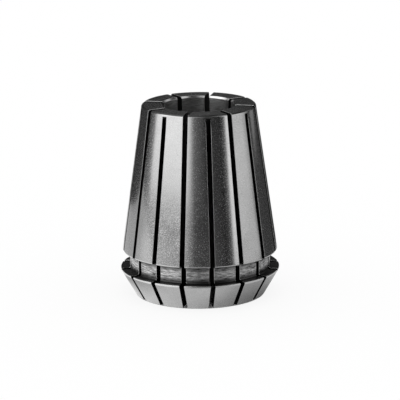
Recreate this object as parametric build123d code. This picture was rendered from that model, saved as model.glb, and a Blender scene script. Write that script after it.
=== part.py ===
from build123d import *
import os
from math import radians, sqrt, tan

# Spring collet of the 8 degree ER form, size 32, turned and slotted from one piece of steel.
# Millimetres and degrees. The axis is Z. The front face, where the tool shank goes in, is at
# Z = 0 and the collet stands on it, with the small rear end of the taper at the top.

# Turned form. The head's rim stands a step proud of the taper's large end, and the groove lies
# its depth below that end.
overall_length = 40.0
head_diameter = 33.0
head_length = 5.6
head_rim_width = 0.35
nut_cone_half_angle = 30.0
groove_width = 3.6
groove_depth = 1.5
head_step = 0.4
taper_half_angle = 8.0
bore_diameter = 15.0

# Edge work
head_rim_chamfer = 0.1
front_edge_chamfer = 0.2
groove_corner_round = 0.35
taper_edge_chamfer = 0.15
rear_edge_chamfer = 0.3
front_bore_chamfer = 0.5
rear_bore_chamfer = 0.45

# Slots, each cut along the axis by a round slitting saw that stops short of one end
slots_per_family = 8
slot_width = 1.0
saw_diameter = 63.0
saw_reach_into_bore = 1.0
rear_web_height = 0.6
front_web_thickness = 3.0

# Worked out from the sizes above
head_radius = head_diameter / 2
taper_radius = head_radius - head_step
groove_radius = taper_radius - groove_depth
bore_radius = bore_diameter / 2
saw_radius = saw_diameter / 2
nut_cone_length = head_length - head_rim_width
taper_start = head_length + groove_width
front_face_radius = head_radius - nut_cone_length * tan(radians(nut_cone_half_angle))
saw_inner_radius = bore_radius - saw_reach_into_bore
saw_centre_radius = saw_inner_radius + saw_radius
family_spacing = 360 / slots_per_family
slot_spacing = family_spacing / 2


def taper_radius_at(height):
    """Radius of the long taper at a height above the front face."""
    return taper_radius - (height - taper_start) * tan(radians(taper_half_angle))


def saw_rise_at(radius):
    """How far the saw's rim stands along the axis from its centre, at a radius of the collet."""
    return sqrt(saw_radius**2 - (saw_centre_radius - radius) ** 2)


def corner(section, radius, height):
    """The corner of a half section that lies nearest a radius and a height."""
    return section.vertices().sort_by_distance((radius, 0, height))[0]


def turned_blank():
    """Bored blank: head with its nut cone and rim, extraction groove and long taper."""
    rear_radius = taper_radius_at(overall_length)
    outline = Polyline(
        (bore_radius, 0),
        (front_face_radius, 0),
        (head_radius, nut_cone_length),
        (head_radius, head_length),
        (groove_radius, head_length),
        (groove_radius, taper_start),
        (taper_radius, taper_start),
        (rear_radius, overall_length),
        (bore_radius, overall_length),
        close=True,
    )
    section = Plane.XZ * make_face(outline)
    section = chamfer(corner(section, front_face_radius, 0), front_edge_chamfer)
    section = chamfer(corner(section, head_radius, head_length), head_rim_chamfer)
    section = fillet(corner(section, groove_radius, head_length), groove_corner_round)
    section = fillet(corner(section, groove_radius, taper_start), groove_corner_round)
    section = chamfer(corner(section, taper_radius, taper_start), taper_edge_chamfer)
    section = chamfer(corner(section, rear_radius, overall_length), rear_edge_chamfer)
    section = chamfer(corner(section, bore_radius, overall_length), rear_bore_chamfer)
    section = chamfer(corner(section, bore_radius, 0), front_bore_chamfer)
    return revolve(section, Axis.Z)


def saw_kerf(stop_height, run_out_height):
    """What one pass of the saw clears: its disc where it stops, and its run out past an end."""
    disc = Pos(saw_centre_radius, stop_height) * Circle(saw_radius)
    run = Rectangle(saw_diameter, abs(run_out_height - stop_height))
    run = Pos(saw_centre_radius, (stop_height + run_out_height) / 2) * run
    return extrude(Plane.XZ * (disc + run), slot_width / 2, both=True)


def front_slot():
    """Slot sawn from the front face, which leaves a web under the edge of the rear end."""
    web_height = overall_length - rear_web_height
    stop_height = web_height - saw_rise_at(taper_radius_at(web_height))
    return saw_kerf(stop_height, -saw_radius)


def rear_slot():
    """Slot sawn from the rear end through the head's rim, which leaves a web round the bore."""
    stop_height = saw_rise_at(bore_radius + front_web_thickness)
    return saw_kerf(stop_height, overall_length + saw_radius)


def collet():
    """The blank with both families of slots, which alternate round the axis."""
    body = turned_blank()
    front_places = PolarLocations(0, slots_per_family, start_angle=slot_spacing / 2)
    rear_places = PolarLocations(0, slots_per_family, start_angle=slot_spacing * 3 / 2)
    body -= [place * front_slot() for place in front_places]
    body -= [place * rear_slot() for place in rear_places]
    return body


os.makedirs("parts", exist_ok=True)
export_step(collet(), "parts/collet.step")
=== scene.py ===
from collections import namedtuple
from math import asin, atan2, ceil, cos, hypot, pi, radians, sin, sqrt, tan

import bpy
from mathutils import Matrix, Vector
from mathutils.geometry import delaunay_2d_cdt


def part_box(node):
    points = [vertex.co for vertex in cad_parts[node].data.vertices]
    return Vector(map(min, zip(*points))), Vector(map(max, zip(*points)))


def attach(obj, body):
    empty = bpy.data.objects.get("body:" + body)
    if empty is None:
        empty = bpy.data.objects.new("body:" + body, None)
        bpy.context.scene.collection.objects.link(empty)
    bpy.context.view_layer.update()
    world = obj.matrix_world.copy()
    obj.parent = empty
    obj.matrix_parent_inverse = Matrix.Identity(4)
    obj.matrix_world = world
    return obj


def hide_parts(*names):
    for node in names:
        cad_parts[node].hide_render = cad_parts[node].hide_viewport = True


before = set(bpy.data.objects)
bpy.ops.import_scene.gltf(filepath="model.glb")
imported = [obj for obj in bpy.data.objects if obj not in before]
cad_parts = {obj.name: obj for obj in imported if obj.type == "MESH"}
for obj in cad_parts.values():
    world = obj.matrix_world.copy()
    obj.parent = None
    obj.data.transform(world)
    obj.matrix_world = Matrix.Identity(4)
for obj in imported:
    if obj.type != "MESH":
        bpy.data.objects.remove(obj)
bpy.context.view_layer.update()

MM = 0.001
MICROMETRE = 1e-6
CAD_NODE = "collet"

# Turned form in millimetres and degrees. The axis is Z, the front face is at Z = 0.
collet_low, collet_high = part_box(CAD_NODE)
overall_length = collet_high.z / MM
head_radius = (collet_high.x - collet_low.x) / 2 / MM
head_length = 5.6
head_rim_width = 0.35
nut_cone_half_angle = 30.0
groove_width = 3.6
groove_depth = 1.5
head_step = 0.4
taper_half_angle = 8.0
bore_radius = 7.5

# Edge work
face_edge_round = 0.4
rim_edge_round = 0.12
rim_base_round = 0.3
groove_corner_round = 0.35
taper_edge_round = 0.3
rear_edge_chamfer = 0.3
rear_edge_round = 0.28
rear_bore_chamfer = 0.35
front_bore_chamfer = 0.5
chamfer_edge_round = 0.07
slot_edge_break = 0.065
slot_break_run_out = 1.2

# Slots
slot_places = 16
slot_width = 1.0
saw_radius = 31.5
saw_inner_radius = bore_radius - 1.0
saw_centre_radius = saw_inner_radius + saw_radius
rear_web_height = 0.6
front_web_radius = bore_radius + 3.0

# Fineness of the mesh
ROUND_STEP = radians(18)
LAND_COLUMNS = 12
SLOT_COLUMNS = 3
ARC_STEPS = 28
LONG_STEP = 2.5
SHORT_STEP = 0.8

# What the filling of a wall outline asks for, and the millimetres under which places are the same
INSIDE_OUTLINE = 1
SAME_PLACE = 1e-6

# Worked out from the sizes above
half_slot = slot_width / 2
taper_radius = head_radius - head_step
groove_radius = taper_radius - groove_depth
taper_start = head_length + groove_width
nut_cone_length = head_length - head_rim_width
front_face_radius = head_radius - nut_cone_length * tan(radians(nut_cone_half_angle))
rear_web_start = overall_length - rear_web_height
rear_chamfer_start = overall_length - rear_edge_chamfer


def taper_radius_at(height):
    """Radius of the long taper at a height above the front face."""
    return taper_radius - (height - taper_start) * tan(radians(taper_half_angle))


def saw_rise_at(radius):
    """How far the saw's rim stands along the axis from its centre, at a radius of the collet."""
    return sqrt(saw_radius**2 - (saw_centre_radius - radius) ** 2)


rear_radius = taper_radius_at(overall_length)
front_slot_stop = rear_web_start - saw_rise_at(taper_radius_at(rear_web_start))
rear_slot_stop = saw_rise_at(front_web_radius)
front_slot_bore_end = front_slot_stop + saw_rise_at(bore_radius)
rear_slot_bore_end = rear_slot_stop - saw_rise_at(bore_radius)


# ---------------------------------------------------------------- half section of the collet

# step is the longest step on the stretch that follows the corner, and zone is its material
Corner = namedtuple("Corner", "radius height rounding zone step mark", defaults=[None])


class SectionPoint:
    """A point of the half section: radius, height, outward normal, and the zone that follows it."""

    def __init__(self, radius, height, normal, zone, mark=None):
        self.radius = radius
        self.height = height
        self.normal = normal
        self.zone = zone
        self.mark = mark

    def sunk(self, depth):
        """Radius and height of the place that lies a depth under this point."""
        return self.radius - depth * self.normal[0], self.height - depth * self.normal[1]


def unit(dx, dy):
    length = hypot(dx, dy)
    return dx / length, dy / length


def rounded(before, corner, after):
    """Section points of one corner's round, or the corner itself where it isn't rounded.

    An outward round gets the lighter edge steel, a painted highlight. An inward one gets the dark
    shoulder steel, a painted shade, and so does one that ends a stretch of that steel.
    """
    way_in = unit(corner.radius - before.radius, corner.height - before.height)
    way_out = unit(after.radius - corner.radius, after.height - corner.height)
    turn = atan2(way_in[0] * way_out[1] - way_in[1] * way_out[0],
                 way_in[0] * way_out[0] + way_in[1] * way_out[1])
    bright = turn > 0 and before.zone != "shoulder"
    rounding = corner.rounding
    steps = max(2, ceil(abs(turn) / ROUND_STEP)) if rounding else 0
    reach = rounding * tan(abs(turn) / 2)
    arm = rounding if turn > 0 else -rounding
    centre = (corner.radius - way_in[0] * reach - arm * way_in[1],
              corner.height - way_in[1] * reach + arm * way_in[0])
    heading = atan2(way_in[1], way_in[0])
    arc = []
    for n in range(steps + 1):
        angle = heading + turn * n / max(steps, 1)
        normal = (sin(angle), -cos(angle))
        place = (corner.radius, corner.height)
        if rounding:
            place = (centre[0] + arm * normal[0], centre[1] + arm * normal[1])
        arc.append(SectionPoint(*place, normal, "edge" if bright else "shoulder"))
    arc[-1].zone = corner.zone
    arc[0].mark = corner.mark
    return arc


def section_points(corners):
    """Walks a closed outline of corners, rounds each and divides its straight stretches."""
    count = len(corners)
    rounds = [rounded(corners[i - 1], corners[i], corners[(i + 1) % count]) for i in range(count)]
    points = []
    for i, arc in enumerate(rounds):
        points += arc
        last = arc[-1]
        target = rounds[(i + 1) % count][0]
        span = hypot(target.radius - last.radius, target.height - last.height)
        pieces = max(1, ceil(span / corners[i].step))
        for n in range(1, pieces):
            share = n / pieces
            points.append(SectionPoint(
                last.radius + share * (target.radius - last.radius),
                last.height + share * (target.height - last.height),
                last.normal, last.zone))
    return points


# The "edge" zone is the lighter steel of a painted highlight, and "shoulder" the dark steel of a painted
# shade.
CORNERS = [
    Corner(bore_radius, front_bore_chamfer, chamfer_edge_round, "edge", SHORT_STEP),
    Corner(bore_radius + front_bore_chamfer, 0, chamfer_edge_round, "face", SHORT_STEP),
    Corner(front_web_radius, 0, 0, "face", SHORT_STEP, "rear slot starts"),
    Corner(front_face_radius, 0, face_edge_round, "ground", SHORT_STEP),
    Corner(head_radius, nut_cone_length, rim_base_round, "edge", SHORT_STEP),
    Corner(head_radius, head_length, rim_edge_round, "shoulder", SHORT_STEP),
    Corner(groove_radius, head_length, groove_corner_round, "turned", SHORT_STEP),
    Corner(groove_radius, taper_start, groove_corner_round, "turned", SHORT_STEP),
    Corner(taper_radius, taper_start, taper_edge_round, "ground", LONG_STEP),
    Corner(taper_radius_at(rear_web_start), rear_web_start, 0, "ground", SHORT_STEP, "front slot ends"),
    Corner(taper_radius_at(rear_chamfer_start), rear_chamfer_start, rear_edge_round, "shoulder", SHORT_STEP),
    Corner(rear_radius - rear_edge_chamfer, overall_length, chamfer_edge_round, "face", SHORT_STEP),
    Corner(bore_radius + rear_bore_chamfer, overall_length, chamfer_edge_round, "edge", SHORT_STEP),
    Corner(bore_radius, overall_length - rear_bore_chamfer, chamfer_edge_round, "bore", LONG_STEP),
    Corner(bore_radius, front_slot_bore_end, 0, "bore", LONG_STEP, "front slot starts"),
    Corner(bore_radius, rear_slot_bore_end, 0, "bore", LONG_STEP, "rear slot ends"),
]


# ---------------------------------------------------------------- mesh of the slotted collet

class CornerMesh:
    """Collects vertices by key, and faces with a normal at each of their corners."""

    def __init__(self):
        self.places = []
        self.index = {}
        self.faces = []
        self.normals = []
        self.zones = []

    def vertex(self, key, place):
        if key not in self.index:
            self.index[key] = len(self.places)
            self.places.append(place)
        return self.index[key]

    def face(self, corners, zone):
        """A face from (vertex, normal) pairs. Corners that fall together are left out."""
        kept = []
        for vertex, normal in corners:
            if vertex not in [k[0] for k in kept]:
                kept.append((vertex, normal))
        if len(kept) > 2:
            self.faces.append([k[0] for k in kept])
            self.normals += [k[1] for k in kept]
            self.zones.append(zone)


def place_of(radius, height, azimuth, offset=0.0):
    """A point in metres at a radius and height, off to the side of a half plane at an azimuth."""
    angle = azimuth + asin(offset / radius)
    return Vector((radius * cos(angle), radius * sin(angle), height)) * MM


def turned_normal(normal, azimuth):
    return Vector((normal[0] * cos(azimuth), normal[0] * sin(azimuth), normal[1]))


def slot_azimuth(k):
    return 2 * pi / slot_places * (k + 0.5)


def marked(points, mark):
    return next(i for i, p in enumerate(points) if p.mark == mark)


def cut_range(points, family):
    """Indices of the section points along one family of slots, in order, both ends included."""
    first = marked(points, family + " slot starts")
    last = marked(points, family + " slot ends")
    count = (last - first) % len(points) + 1
    return [(first + n) % len(points) for n in range(count)]


def edge_breaks(points, cut):
    """Width of the slots' edge break at each section point, fading out towards the slot's ends."""
    run = [0.0]
    for a, b in zip(cut[:-1], cut[1:]):
        run.append(run[-1] + hypot(points[b].radius - points[a].radius, points[b].height - points[a].height))
    widths = {}
    for i, gone in zip(cut, run):
        near = min(gone, run[-1] - gone)
        widths[i] = slot_edge_break * min(1.0, near / slot_break_run_out)
    return widths


def saw_arc(points, cut, stop):
    """Radius, height and normal along the saw's arc, from the last cut point back to the first."""
    start, end = points[cut[-1]], points[cut[0]]
    angles = []
    for p in (start, end):
        angles.append(atan2(p.height - stop, p.radius - saw_centre_radius) % (2 * pi))
    arc = []
    for n in range(ARC_STEPS + 1):
        angle = angles[0] + (angles[1] - angles[0]) * n / ARC_STEPS
        arc.append((saw_centre_radius + saw_radius * cos(angle), stop + saw_radius * sin(angle),
                    (-cos(angle), -sin(angle))))
    return arc


FAMILIES = {"front": front_slot_stop, "rear": rear_slot_stop}


def family_of(k):
    return "front" if k % 2 == 0 else "rear"


def column_beside(side):
    """The outermost column across a slot on its side -1 or +1."""
    return 0 if side < 0 else SLOT_COLUMNS


def slot_offset(column):
    """How far a column across a slot lies from the slot's middle."""
    return half_slot * (2 * column / SLOT_COLUMNS - 1)


def wall_normal(k, side):
    azimuth = slot_azimuth(k)
    return Vector((sin(azimuth), -cos(azimuth), 0)) * side


class ColletMesh(CornerMesh):
    """The turned skin in lands between the slots, with the slots' broken edges, walls and ends."""

    def __init__(self):
        super().__init__()
        self.points = section_points(CORNERS)
        self.cuts = {name: cut_range(self.points, name) for name in FAMILIES}
        self.breaks = {name: edge_breaks(self.points, self.cuts[name]) for name in FAMILIES}
        self.arcs = {name: saw_arc(self.points, self.cuts[name], stop) for name, stop in FAMILIES.items()}
        for k in range(slot_places):
            self.add_skin(k)
            for side in (-1, 1):
                self.add_slot_side(k, side)
            self.add_slot_end(k)

    def edge_offset(self, i, k):
        """How far the skin's edge lies from the middle of slot k."""
        return half_slot + self.breaks[family_of(k)].get(i, 0.0)

    def skin_vertex(self, i, k, side):
        """The land's vertex beside slot k, on its side -1 or +1."""
        p = self.points[i]
        return self.vertex(("slot", i, k % slot_places, column_beside(side)),
                           place_of(p.radius, p.height, slot_azimuth(k), side * self.edge_offset(i, k)))

    def skin_angle(self, i, k, side):
        return slot_azimuth(k) + side * asin(self.edge_offset(i, k) / self.points[i].radius)

    def land_vertex(self, i, k, column):
        """A vertex on the land between slots k and k + 1, with its azimuth."""
        low = self.skin_angle(i, k, 1)
        high = self.skin_angle(i, k + 1, -1)
        angle = low + (high - low) * column / LAND_COLUMNS
        if column == 0:
            return self.skin_vertex(i, k, 1), angle
        if column == LAND_COLUMNS:
            return self.skin_vertex(i, k + 1, -1), angle
        p = self.points[i]
        return self.vertex(("land", i, k, column), place_of(p.radius, p.height, angle)), angle

    def slot_vertex(self, i, k, column):
        """A vertex on the uncut skin across slot k, with its azimuth."""
        p = self.points[i]
        offset = slot_offset(column)
        azimuth = slot_azimuth(k)
        vertex = self.vertex(("slot", i, k, column), place_of(p.radius, p.height, azimuth, offset))
        return vertex, azimuth + asin(offset / p.radius)

    def arc_vertex(self, n, k, column):
        """A vertex on the saw's arc in slot k. Both ends of the arc lie on the skin."""
        family = family_of(k)
        cut = self.cuts[family]
        if n == 0 or n == ARC_STEPS:
            return self.slot_vertex(cut[-1] if n == 0 else cut[0], k, column)[0]
        radius, height, _ = self.arcs[family][n]
        place = place_of(radius, height, slot_azimuth(k), slot_offset(column))
        return self.vertex(("arc", n, k, column), place)

    def add_strip(self, grid_vertex, k, columns, i):
        """Faces between section points i and i + 1, across a land or an uncut slot."""
        j = (i + 1) % len(self.points)
        for column in range(columns):
            corners = []
            for at, c in ((i, column), (i, column + 1), (j, column + 1), (j, column)):
                vertex, angle = grid_vertex(at, k, c)
                corners.append((vertex, turned_normal(self.points[at].normal, angle)))
            self.face(corners, self.points[i].zone)

    def add_skin(self, k):
        """The land after slot k, and the skin across slot k where the saw didn't cut it."""
        sawn = set(self.cuts[family_of(k)][:-1])
        for i in range(len(self.points)):
            self.add_strip(self.land_vertex, k, LAND_COLUMNS, i)
            if i not in sawn:
                self.add_strip(self.slot_vertex, k, SLOT_COLUMNS, i)

    def break_ring(self, i, k, side):
        """Land edge, middle and wall edge of the slot's edge break at a section point."""
        p = self.points[i]
        width = self.breaks[family_of(k)][i]
        azimuth = slot_azimuth(k)
        outward = turned_normal(p.normal, azimuth)
        inward = wall_normal(k, side)
        between_them = (outward + inward).normalized()
        land = self.skin_vertex(i, k, side)
        if width == 0:
            return [(land, outward), (land, between_them), (land, inward)]
        middle_depth = width * (1 - sqrt(0.5))
        middle_place = place_of(*p.sunk(middle_depth), azimuth, side * (half_slot + middle_depth))
        wall_place = place_of(*p.sunk(width), azimuth, side * half_slot)
        middle = self.vertex(("middle", i, k, side), middle_place)
        wall = self.vertex(("wall", i, k, side), wall_place)
        return [(land, outward), (middle, between_them), (wall, inward)]

    def add_slot_side(self, k, side):
        """The broken edge along one side of slot k, and the sawn wall under it."""
        rings = [self.break_ring(i, k, side) for i in self.cuts[family_of(k)]]
        for a, b in zip(rings[:-1], rings[1:]):
            for level in (0, 1):
                corners = [a[level], b[level], b[level + 1], a[level + 1]]
                self.face(corners if side > 0 else corners[::-1], "edge")
        outline = [ring[2][0] for ring in rings]
        outline += [self.arc_vertex(n, k, column_beside(side)) for n in range(1, ARC_STEPS)]
        self.add_wall(outline, k, side)

    def add_wall(self, outline, k, side):
        """Triangles that fill the flat outline of one wall of slot k."""
        azimuth = slot_azimuth(k)
        flat = []
        for vertex in outline:
            x, y, z = self.places[vertex]
            flat.append(Vector((x * cos(azimuth) + y * sin(azimuth), z)) / MM)
        edges = [(n, (n + 1) % len(flat)) for n in range(len(flat))]
        triangles = delaunay_2d_cdt(flat, edges, [], INSIDE_OUTLINE, SAME_PLACE)[2]
        normal = wall_normal(k, side)
        for triangle in triangles:
            a, b, c = (flat[n] for n in triangle)
            anticlockwise = (b - a).cross(c - a) > 0
            order = triangle if anticlockwise == (side > 0) else triangle[::-1]
            self.face([(outline[n], normal) for n in order], "sawn")

    def add_slot_end(self, k):
        """The arc that the saw leaves where it stops in slot k."""
        arc = self.arcs[family_of(k)]
        azimuth = slot_azimuth(k)
        for n in range(ARC_STEPS):
            for column in range(SLOT_COLUMNS):
                corners = []
                for at, c in ((n, column), (n + 1, column), (n + 1, column + 1), (n, column + 1)):
                    corners.append((self.arc_vertex(at, k, c), turned_normal(arc[at][2], azimuth)))
                self.face(corners, "sawn")


# ---------------------------------------------------------------- materials

CLOUD_SIZE = 4.0
CLOUD_TONE = 0.30
ROUGHNESS_SWING = 0.05
SPECK_SPAN = -0.10, 0.28
DARKEST = 0.01
QUARTER_TURN = 0.25
# Painted shade in the groove: heights in millimetres and the share of the colour left there, darker towards
# the corners.
GROOVE_PAINTED_SHADE = [(head_length + 0.2, 0.25), (head_length + 1.5, 1.0), (taper_start - 1.5, 1.0),
                (taper_start - 0.4, 0.3)]

# size and length are in millimetres and depth in micrometres. tone is how strongly they tone the colour
Marks = namedtuple("Marks", "size length depth tone")
Grain = namedtuple("Grain", "size depth tone")


class Nodes:
    """Short ways to add and link nodes in one material."""

    def __init__(self, name):
        self.material = bpy.data.materials.new(name)
        self.material.use_nodes = True
        self.tree = self.material.node_tree
        self.tree.nodes.clear()

    def add(self, kind, **settings):
        node = self.tree.nodes.new(kind)
        for name, value in settings.items():
            setattr(node, name, value)
        return node

    def feed(self, socket, value):
        if isinstance(value, bpy.types.NodeSocket):
            self.tree.links.new(value, socket)
        else:
            socket.default_value = value

    def math(self, operation, a, b=0.0, c=0.0):
        node = self.add("ShaderNodeMath", operation=operation)
        for socket, value in zip(node.inputs, (a, b, c)):
            self.feed(socket, value)
        return node.outputs[0]

    def noise(self, vector, scale, detail=2.0, roughness=0.5):
        """Noise about 0."""
        node = self.add("ShaderNodeTexNoise")
        self.feed(node.inputs["Vector"], vector)
        node.inputs["Scale"].default_value = scale
        node.inputs["Detail"].default_value = detail
        node.inputs["Roughness"].default_value = roughness
        return self.math("SUBTRACT", node.outputs["Fac"], 0.5)

    def span(self, value, low, high, out_low, out_high):
        """Goes smoothly from out_low to out_high while the value goes from low to high."""
        node = self.add("ShaderNodeMapRange", interpolation_type="SMOOTHSTEP")
        for name, given in (("Value", value), ("From Min", low), ("From Max", high),
                            ("To Min", out_low), ("To Max", out_high)):
            self.feed(node.inputs[name], given)
        return node.outputs[0]

    def blend(self, share, a, b):
        """a where the share is 0, b where it is 1."""
        rest = self.math("SUBTRACT", 1.0, share)
        return self.math("MULTIPLY_ADD", share, b, self.math("MULTIPLY", rest, a))

    def object_place(self):
        """The place in the object, and its x, y and z."""
        place = self.add("ShaderNodeTexCoord").outputs["Object"]
        parts = self.add("ShaderNodeSeparateXYZ")
        self.feed(parts.inputs[0], place)
        return place, parts.outputs

    def surface(self, shader):
        """Ends the material with a shader."""
        output = self.add("ShaderNodeOutputMaterial")
        self.feed(output.inputs["Surface"], shader.outputs[0])
        return self.material


def tool_lines(n, parts, lay, marks):
    """Noise drawn out along the way that the tool went."""
    x, y, z = parts
    across = z
    if lay != "round":
        across = n.math("SQRT", n.math("ADD", n.math("MULTIPLY", x, x), n.math("MULTIPLY", y, y)))
    if lay == "sawn":
        across = n.math("ADD", across, z)
    streak = n.add("ShaderNodeCombineXYZ")
    for socket, source, size in zip(streak.inputs, (x, y, across), (marks.length, marks.length, marks.size)):
        n.feed(socket, n.math("MULTIPLY", source, 1 / (size * MM)))
    return n.noise(streak.outputs[0], 1.0)


def steel(name, lay, base, roughness, anisotropy, marks, grain, pits, painted_shade=()):
    """Bare steel. lay is the way the tool went: "round" the axis, "rings" on a face or "sawn".

    pits is how much rougher the steel is in its fine pits. The painted shade holds rising heights in
    millimetres and the share of the colour that is left there, darker where that share is low.
    """
    n = Nodes(name)
    place, parts = n.object_place()
    lines = tool_lines(n, parts, lay, marks)
    specks = n.noise(place, 1 / (grain.size * MM), roughness=0.6)
    cloud = n.noise(place, 1 / (CLOUD_SIZE * MM), detail=3.0, roughness=0.55)
    tone = n.math("MULTIPLY_ADD", lines, marks.tone, 1.0)
    tone = n.math("MULTIPLY_ADD", specks, grain.tone, tone)
    tone = n.math("MULTIPLY_ADD", cloud, CLOUD_TONE, tone)
    # Painted shade: the colour falls off towards the given heights.
    for (low, left_low), (high, left_high) in zip(painted_shade[:-1], painted_shade[1:]):
        if left_low != left_high:
            tone = n.math("MULTIPLY", tone, n.span(parts[2], low * MM, high * MM, left_low, left_high))
    rough = n.span(specks, *SPECK_SPAN, roughness, roughness + pits)
    rough = n.math("MULTIPLY_ADD", cloud, ROUGHNESS_SWING, rough)
    height = n.math("MULTIPLY_ADD", lines, marks.depth, n.math("MULTIPLY", specks, grain.depth))
    bump = n.add("ShaderNodeBump")
    bump.inputs["Strength"].default_value = 1.0
    bump.inputs["Distance"].default_value = MICROMETRE
    n.feed(bump.inputs["Height"], height)
    tangent = n.add("ShaderNodeTangent", direction_type="RADIAL", axis="Z")
    shader = n.add("ShaderNodeBsdfPrincipled")
    shader.inputs["Metallic"].default_value = 1.0
    shader.inputs["Anisotropic"].default_value = anisotropy
    shader.inputs["Anisotropic Rotation"].default_value = QUARTER_TURN
    n.feed(shader.inputs["Tangent"], tangent.outputs[0])
    n.feed(shader.inputs["Base Color"], n.math("MAXIMUM", n.math("MULTIPLY", tone, base), DARKEST))
    n.feed(shader.inputs["Roughness"], n.math("MULTIPLY_ADD", lines, ROUGHNESS_SWING, rough))
    n.feed(shader.inputs["Normal"], bump.outputs[0])
    return n.surface(shader)


def ground_steel():
    """The long taper and the nut cone: fine grinding lines and pits."""
    return steel("ground_steel", "round", base=0.60, roughness=0.08, anisotropy=0.20,
                 marks=Marks(0.11, 5.0, 0.3, 0.1), grain=Grain(0.165, 0.8, 0.7), pits=0.30)


def turned_steel():
    """The groove's floor and its upper flank: coarse turned marks, and painted shade towards its corners."""
    return steel("turned_steel", "round", base=0.50, roughness=0.30, anisotropy=0.30,
                 marks=Marks(0.26, 1.4, 32.0, 3.6), grain=Grain(0.18, 5.0, 1.8), pits=0.10,
                 painted_shade=GROOVE_PAINTED_SHADE)


def shoulder_steel():
    """The head's shoulder, the groove's corner rounds and the rear end's chamfer: nearly black and matt, a
    painted shade.
    """
    return steel("shoulder_steel", "rings", base=0.09, roughness=0.36, anisotropy=0.30,
                 marks=Marks(0.20, 5.0, 8.0, 0.6), grain=Grain(0.20, 4.0, 0.3), pits=0.10)


def faced_steel():
    """Both end faces: fine rings of the facing tool."""
    return steel("faced_steel", "rings", base=0.38, roughness=0.22, anisotropy=0.30,
                 marks=Marks(0.15, 5.0, 3.0, 0.4), grain=Grain(0.10, 1.0, 0.3), pits=0.08)


def bored_steel():
    """The wall of the bore: short marks and deep pits."""
    return steel("bored_steel", "round", base=0.42, roughness=0.30, anisotropy=0.20,
                 marks=Marks(0.26, 1.4, 8.0, 1.6), grain=Grain(0.13, 3.0, 1.0), pits=0.40)


def edge_steel():
    """The broken edges, the bore's chamfers and the narrow rim of the head: lighter than the other steel, a
    painted highlight.
    """
    return steel("edge_steel", "round", base=0.72, roughness=0.14, anisotropy=0.20,
                 marks=Marks(0.11, 5.0, 0.5, 0.2), grain=Grain(0.15, 1.0, 0.3), pits=0.10)


def sawn_steel():
    """The walls and ends of the slots: almost black, a painted shade in the deep slots."""
    return steel("sawn_steel", "sawn", base=0.02, roughness=0.50, anisotropy=0.00,
                 marks=Marks(0.15, 5.0, 8.0, 1.0), grain=Grain(0.20, 5.0, 0.5), pits=0.10)


# The material of each zone of the section, in the order of the material slots
ZONES = {
    "ground": ground_steel,
    "turned": turned_steel,
    "shoulder": shoulder_steel,
    "face": faced_steel,
    "bore": bored_steel,
    "edge": edge_steel,
    "sawn": sawn_steel,
}


def make_collet():
    parts = ColletMesh()
    data = bpy.data.meshes.new("slotted_collet")
    data.from_pydata(parts.places, [], parts.faces)
    for make_material in ZONES.values():
        data.materials.append(make_material())
    zones = list(ZONES)
    data.polygons.foreach_set("material_index", [zones.index(zone) for zone in parts.zones])
    data.polygons.foreach_set("use_smooth", [True] * len(parts.faces))
    data.update()
    data.normals_split_custom_set([tuple(normal) for normal in parts.normals])
    collet = bpy.data.objects.new("slotted_collet", data)
    bpy.context.scene.collection.objects.link(collet)
    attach(collet, "root")
    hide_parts(CAD_NODE)


make_collet()


# ---------------------------------------------------------------- studio

# Sizes and places are in millimetres, azimuths and elevations in degrees. Azimuth 0 is in front
# of the collet, toward -Y, and grows toward +X. A level of 1 is white.
DOME_RADIUS = 320.0
CARD_STEP = 2.0
DOME_TOP = 46
APRON_GAP = 5.0
LOWEST_APRON = 0.5
CEILING_SPAN = 40, 84
HIGH_RIGHT_SPAN = 52, 74
BACK_SPAN = 26, DOME_TOP
LEFT_FEET = [(-96, 4), (-90, 7), (-75, 15), (-60, 22), (-44, 28), (-29, 31)]

# The room round the softboxes, and the world's light on matt surfaces
ROOM_RADIUS = 2900.0
ROOM_STEP = 6.0
ROOM_IN_STEEL = 0.035
ROOM_ON_PAPER = 1.25
WHITE = (1, 1, 1, 1)

# The table. Each card on it lies a little above the one that it covers. The pairs are the near
# and far distance of a card from the axis, and SMALL keeps a division away from zero.
TABLE_HEIGHT = 0.2
SHEET_HEIGHT = 0.4
BACK_HEIGHT = 0.6
FLOOR_SIZE = 6000.0
PAPER_RADIUS = 50.0
SHEET_FRONT = 330.0
SHEET_SIDE = 285.0
SHEET_BACK = 85.0
DARK_TABLE = PAPER_RADIUS, FLOOR_SIZE / 2
LIT_TABLE = 110, 330
FAR_TABLE = 330, 1200
BACK_TABLE = PAPER_RADIUS, 900
TABLE_STEP = 0.25
SMALL = 0.01

# The paper as the steel mirrors it, with a painted shadow and painted light. Each pair of pairs is a
# stretch and the levels at its two ends. The stretch is of x, of the distance from PAPER_MIDDLE under
# the rim, or of the distance from the axis in the last three.
FLOOR_SHADOW_SHARE = 0.15
PAPER_COLOR = (0.8, 0.8, 0.8, 1)
PAPER_AT_FOOT = (-15.0, 14.0), (0.96, 0.10)
PAPER_UNDER_RIM = (4.0, 17.0), (0.70, 0.37)
PAPER_MIDDLE = -2.0
PAPER_LEFT = (-13.0, -3.0), (1.0, 0.08)
PAPER_RIGHT = (5.0, 18.0), (0.0, 0.45)
PAPER_FAR = (-20.0, 42.0), (0.88, 0.28)
RISING = (0, 1)
FOOT_TO_RIM = (12.5, 19.0), RISING
RIM_TO_BEYOND = (18.2, 21.0), RISING
BEYOND_TO_FAR = (37.0, 39.5), RISING


def glow_material():
    """Light that follows the level written on each point of a card."""
    n = Nodes("studio_glow")
    level = n.add("ShaderNodeAttribute", attribute_name="level")
    light = n.add("ShaderNodeEmission")
    n.feed(light.inputs["Strength"], level.outputs["Fac"])
    return n.surface(light)


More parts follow.
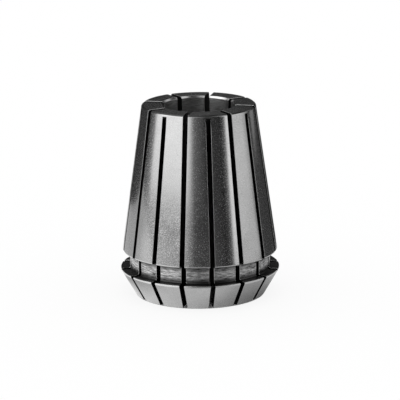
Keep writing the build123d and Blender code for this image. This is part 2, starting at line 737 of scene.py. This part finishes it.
def stage_card(name, rows):
    """A sheet that only the steel mirrors, from rows of (point in millimetres, level)."""
    width = len(rows[0])
    places = [Vector(place) * MM for row in rows for place, _ in row]
    faces = []
    for row in range(len(rows) - 1):
        for column in range(width - 1):
            a = row * width + column
            faces.append((a, a + 1, a + width + 1, a + width))
    data = bpy.data.meshes.new(name)
    data.from_pydata(places, [], faces)
    levels = data.attributes.new("level", "FLOAT", "POINT")
    levels.data.foreach_set("value", [level for row in rows for _, level in row])
    data.materials.append(GLOW)
    card = bpy.data.objects.new(name, data)
    bpy.context.scene.collection.objects.link(card)
    card.visible_camera = False
    card.visible_diffuse = False
    card.visible_shadow = False


def spread(span, step=CARD_STEP):
    """Evenly spaced values over a span, about a step apart."""
    count = max(1, ceil((span[1] - span[0]) / step))
    return [span[0] + (span[1] - span[0]) * n / count for n in range(count + 1)]


def azimuths_of(levels):
    """The azimuths of a card's columns, from the first place in its levels to the last."""
    return spread((levels[0][0], levels[-1][0]))


def around(azimuth, radius, height):
    """A point of the studio."""
    return radius * sin(radians(azimuth)), -radius * cos(radians(azimuth)), height


def between(stops, at):
    """Value at a place among rising (place, value) stops, straight between neighbours."""
    if at <= stops[0][0]:
        return stops[0][1]
    for (a, low), (b, high) in zip(stops[:-1], stops[1:]):
        if at <= b:
            return low + (high - low) * (at - a) / (b - a)
    return stops[-1][1]


def softbox(name, levels, feet, rises=((0, 1),), elevations=(0, DOME_TOP)):
    """A soft light on a dome round the collet.

    levels and feet give its level and the height of its foot at azimuths, and rises a factor of
    the level at elevations.
    """
    rows = []
    for elevation in spread(elevations):
        reach = DOME_RADIUS * cos(radians(elevation))
        rise = DOME_RADIUS * sin(radians(elevation))
        rows.append([(around(azimuth, reach, between(feet, azimuth) + rise),
                      between(levels, azimuth) * between(rises, elevation))
                     for azimuth in azimuths_of(levels)])
    stage_card(name, rows)


def apron(name, levels, feet, drops):
    """A strip that hangs below a softbox's foot, just outside the dome.

    levels and feet are its level and the softbox's foot at azimuths, and drops a factor of the
    level at heights against the foot.
    """
    rows = []
    for drop, factor in drops:
        row = []
        for azimuth in azimuths_of(levels):
            height = max(LOWEST_APRON, between(feet, azimuth) + drop)
            row.append((around(azimuth, DOME_RADIUS + APRON_GAP, height), between(levels, azimuth) * factor))
        rows.append(row)
    stage_card(name, rows)


def table_patch(name, levels, radii_at, height):
    """A patch of the table, with levels at azimuths.

    radii_at gives its near and far distance from the axis at an azimuth.
    """
    rows = []
    for share in spread((0, 1), TABLE_STEP):
        row = []
        for azimuth in azimuths_of(levels):
            near, far = radii_at(azimuth)
            row.append((around(azimuth, near + (far - near) * share, height), between(levels, azimuth)))
        rows.append(row)
    stage_card(name, rows)


def ring(near, far):
    """The same near and far distance at every azimuth."""
    return lambda azimuth: (near, far)


def sheet_radii(azimuth):
    """Near and far edge of the grey sheet on the table, a rectangle on the left of the collet."""
    along, back = abs(sin(radians(azimuth))), -cos(radians(azimuth))
    far = min(SHEET_FRONT, SHEET_SIDE / max(along, SMALL), SHEET_BACK / max(back, SMALL))
    return PAPER_RADIUS, far


def painted_paper_shade(n, x, reach):
    """How light the steel mirrors the paper, from x and from the distance to the axis.

    A painted shadow and painted light: close to the collet's foot it falls off to the right. Under the
    rim it is lightest a little left of the middle, beyond the rim it is light at both sides, and far off
    it falls off slowly.
    """
    def fall(value, stops, levels):
        return n.span(value, stops[0] * MM, stops[1] * MM, *levels)

    foot = fall(x, *PAPER_AT_FOOT)
    under_rim = fall(n.math("ABSOLUTE", n.math("SUBTRACT", x, PAPER_MIDDLE * MM)), *PAPER_UNDER_RIM)
    beyond = n.math("ADD", fall(x, *PAPER_LEFT), fall(x, *PAPER_RIGHT))
    near = n.blend(fall(reach, *FOOT_TO_RIM), foot, under_rim)
    outer = n.blend(fall(reach, *BEYOND_TO_FAR), beyond, fall(x, *PAPER_FAR))
    return n.blend(fall(reach, *RIM_TO_BEYOND), near, outer)


def floor_material():
    """White paper that keeps the collet's shadow, and carries a painted shadow and painted light where the
    steel mirrors it.

    Under the collet it is plain matt paper.
    """
    n = Nodes("white_paper")
    path = n.add("ShaderNodeLightPath").outputs
    place, parts = n.object_place()
    from_axis = n.add("ShaderNodeVectorMath", operation="LENGTH")
    n.feed(from_axis.inputs[0], place)
    reach = from_axis.outputs["Value"]
    mirrored = n.math("MAXIMUM", path["Is Glossy Ray"], path["Is Transmission Ray"])
    seen = n.math("MAXIMUM", path["Is Camera Ray"], mirrored)
    seen = n.math("MULTIPLY", seen, n.math("GREATER_THAN", reach, front_face_radius * MM))
    # Painted shadow and light: the paper that the steel mirrors is dimmed with the place.
    dimmed = n.math("MULTIPLY", mirrored, n.math("SUBTRACT", 1.0, painted_paper_shade(n, parts[0], reach)))
    paper = n.add("ShaderNodeBsdfDiffuse")
    paper.inputs["Color"].default_value = PAPER_COLOR
    white = n.add("ShaderNodeEmission")
    n.feed(white.inputs["Strength"], n.math("SUBTRACT", 1.0, dimmed))
    mix = n.add("ShaderNodeMixShader")
    n.feed(mix.inputs[0], n.math("MULTIPLY", seen, 1 - FLOOR_SHADOW_SHARE))
    n.feed(mix.inputs[1], paper.outputs[0])
    n.feed(mix.inputs[2], white.outputs[0])
    return n.surface(mix)


def make_floor():
    size = FLOOR_SIZE / 2 * MM
    data = bpy.data.meshes.new("floor")
    data.from_pydata([(-size, -size, 0), (size, -size, 0), (size, size, 0), (-size, size, 0)], [],
                     [(0, 1, 2, 3)])
    data.materials.append(floor_material())
    floor = bpy.data.objects.new("floor", data)
    bpy.context.scene.collection.objects.link(floor)


def make_world():
    """A white background, and even light for matt surfaces."""
    world = bpy.data.worlds.new("studio")
    world.use_nodes = True
    tree = world.node_tree
    path = tree.nodes.new("ShaderNodeLightPath")
    level = tree.nodes.new("ShaderNodeMapRange")
    tree.links.new(path.outputs["Is Diffuse Ray"], level.inputs["Value"])
    level.inputs["To Min"].default_value = 1.0
    level.inputs["To Max"].default_value = ROOM_ON_PAPER
    background = tree.nodes["Background"]
    background.inputs["Color"].default_value = WHITE
    tree.links.new(level.outputs[0], background.inputs["Strength"])
    bpy.context.scene.world = world


def make_dark_room():
    """The room round the softboxes, dark in the steel's reflections."""
    rows = []
    for elevation in spread((0, 90), ROOM_STEP):
        reach = ROOM_RADIUS * cos(radians(elevation))
        height = ROOM_RADIUS * sin(radians(elevation))
        rows.append([(around(azimuth, reach, height), ROOM_IN_STEEL)
                     for azimuth in spread((-180, 180), ROOM_STEP)])
    stage_card("dark_room", rows)


def make_softboxes():
    softbox("softbox_left",
            levels=[(-108, 0), (-99, 0.14), (-93, 0.24), (-90, 0.38), (-87, 0.95), (-84, 1.12), (-60, 1.28),
                    (-24, 1.28), (-19, 1.05), (-14, 0.76), (-10, 0.33), (-6, 0.15), (2, 0.1), (12, 0.05)],
            feet=LEFT_FEET)
    softbox("softbox_right",
            levels=[(40, 0), (46, 0.06), (49, 0.07), (52, 0.32), (54, 1.05), (58, 1.15), (62, 0.92),
                    (68, 0.74), (92, 0.72), (98, 0.55), (105, 0.42), (112, 0.12), (120, 0)],
            feet=[(53, 2)],
            rises=[(30, 1), (DOME_TOP, 0.6)])
    softbox("softbox_ceiling",
            levels=[(-180, 0.6), (-140, 0.5), (-126, 0.4), (-116, 1.3), (-104, 1.7), (-76, 1.5), (-58, 0.7),
                    (-40, 0.45), (-8, 0.34), (22, 0.1), (48, 0.05), (124, 0.05), (142, 0.3), (180, 0.6)],
            feet=[(0, 16)],
            rises=[(40, 0), (DOME_TOP, 1)],
            elevations=CEILING_SPAN)
    softbox("softbox_high_right",
            levels=[(54, 0.05), (64, 0.6), (74, 0.7), (100, 0.75), (110, 0.4), (118, 0.05)],
            feet=[(0, 4)],
            rises=[(52, 0), (57, 1), (70, 1), (74, 0.3)],
            elevations=HIGH_RIGHT_SPAN)
    softbox("softbox_back",
            levels=[(118, 0), (135, 0.6), (225, 0.6), (242, 0)],
            feet=[(135, 2)],
            rises=[(26, 0), (40, 1)],
            elevations=BACK_SPAN)
    apron("apron_left",
          levels=[(-98, 0.4), (-91, 0.45), (-83, 0.5), (-75, 0.75), (-64, 0.9), (-20, 0.9), (-14, 0.6),
                  (-6, 0.2)],
          feet=LEFT_FEET,
          drops=[(-28, 0.55), (-20, 0.46), (-11, 0.35), (-6, 0.58), (-2, 0.74), (3, 1.1)])


def make_table():
    table_patch("dark_table",
                levels=[(-180, 0.05), (-16, 0.05), (-6, 0.15), (26, 0.15), (36, 0.05), (180, 0.05)],
                radii_at=ring(*DARK_TABLE), height=TABLE_HEIGHT)
    table_patch("grey_sheet",
                levels=[(-190, 0.5), (-128, 0.5), (-98, 0.56), (-90, 0.72), (-82, 0.8), (-74, 0.76),
                        (-59, 0.64), (-40, 0.50), (-14, 0.45)],
                radii_at=sheet_radii, height=SHEET_HEIGHT)
    table_patch("lit_table",
                levels=[(50, 0.2), (54, 0.72), (96, 0.7), (102, 0.2)],
                radii_at=ring(*LIT_TABLE), height=SHEET_HEIGHT)
    table_patch("far_table",
                levels=[(110, 0.05), (116, 0.3), (136, 0.3)],
                radii_at=ring(*FAR_TABLE), height=SHEET_HEIGHT)
    table_patch("back_table",
                levels=[(166, 0.07), (172, 0.6), (188, 0.6), (192, 0.1)],
                radii_at=ring(*BACK_TABLE), height=BACK_HEIGHT)


GLOW = glow_material()
make_floor()
make_world()
make_dark_room()
make_softboxes()
make_table()


# ---------------------------------------------------------------- camera

# Millimetres, degrees and pixels of the photo, and the clip distances in metres
CAMERA_DISTANCE = 560.0
CAMERA_AZIMUTH = 2.043
CAMERA_ELEVATION = 14.312
CAMERA_ROLL = -0.5
AIM_RIGHT = 0.094
AIM_HEIGHT = 19.526
PHOTO_PIXELS = 400
FOCAL_PIXELS = 2698.0
SENSOR_WIDTH = 36.0
CLIP_START = 0.01
CLIP_END = 20


def make_camera():
    azimuth, elevation, roll = (radians(a) for a in (CAMERA_AZIMUTH, CAMERA_ELEVATION, CAMERA_ROLL))
    back = Vector((sin(azimuth) * cos(elevation), -cos(azimuth) * cos(elevation), sin(elevation)))
    level = Vector((cos(azimuth), sin(azimuth), 0))
    upright = back.cross(level)
    right = level * cos(roll) + upright * sin(roll)
    up = upright * cos(roll) - level * sin(roll)
    aim = (level * AIM_RIGHT + Vector((0, 0, AIM_HEIGHT))) * MM
    data = bpy.data.cameras.new("camera")
    data.sensor_width = SENSOR_WIDTH
    data.lens = FOCAL_PIXELS / PHOTO_PIXELS * SENSOR_WIDTH
    data.clip_start = CLIP_START
    data.clip_end = CLIP_END
    camera = bpy.data.objects.new("camera", data)
    camera.matrix_world = Matrix.Translation(aim + back * CAMERA_DISTANCE * MM) @ \
        Matrix((right, up, back)).transposed().to_4x4()
    bpy.context.scene.collection.objects.link(camera)
    bpy.context.scene.camera = camera


make_camera()
bpy.context.scene.view_settings.view_transform = "Standard"
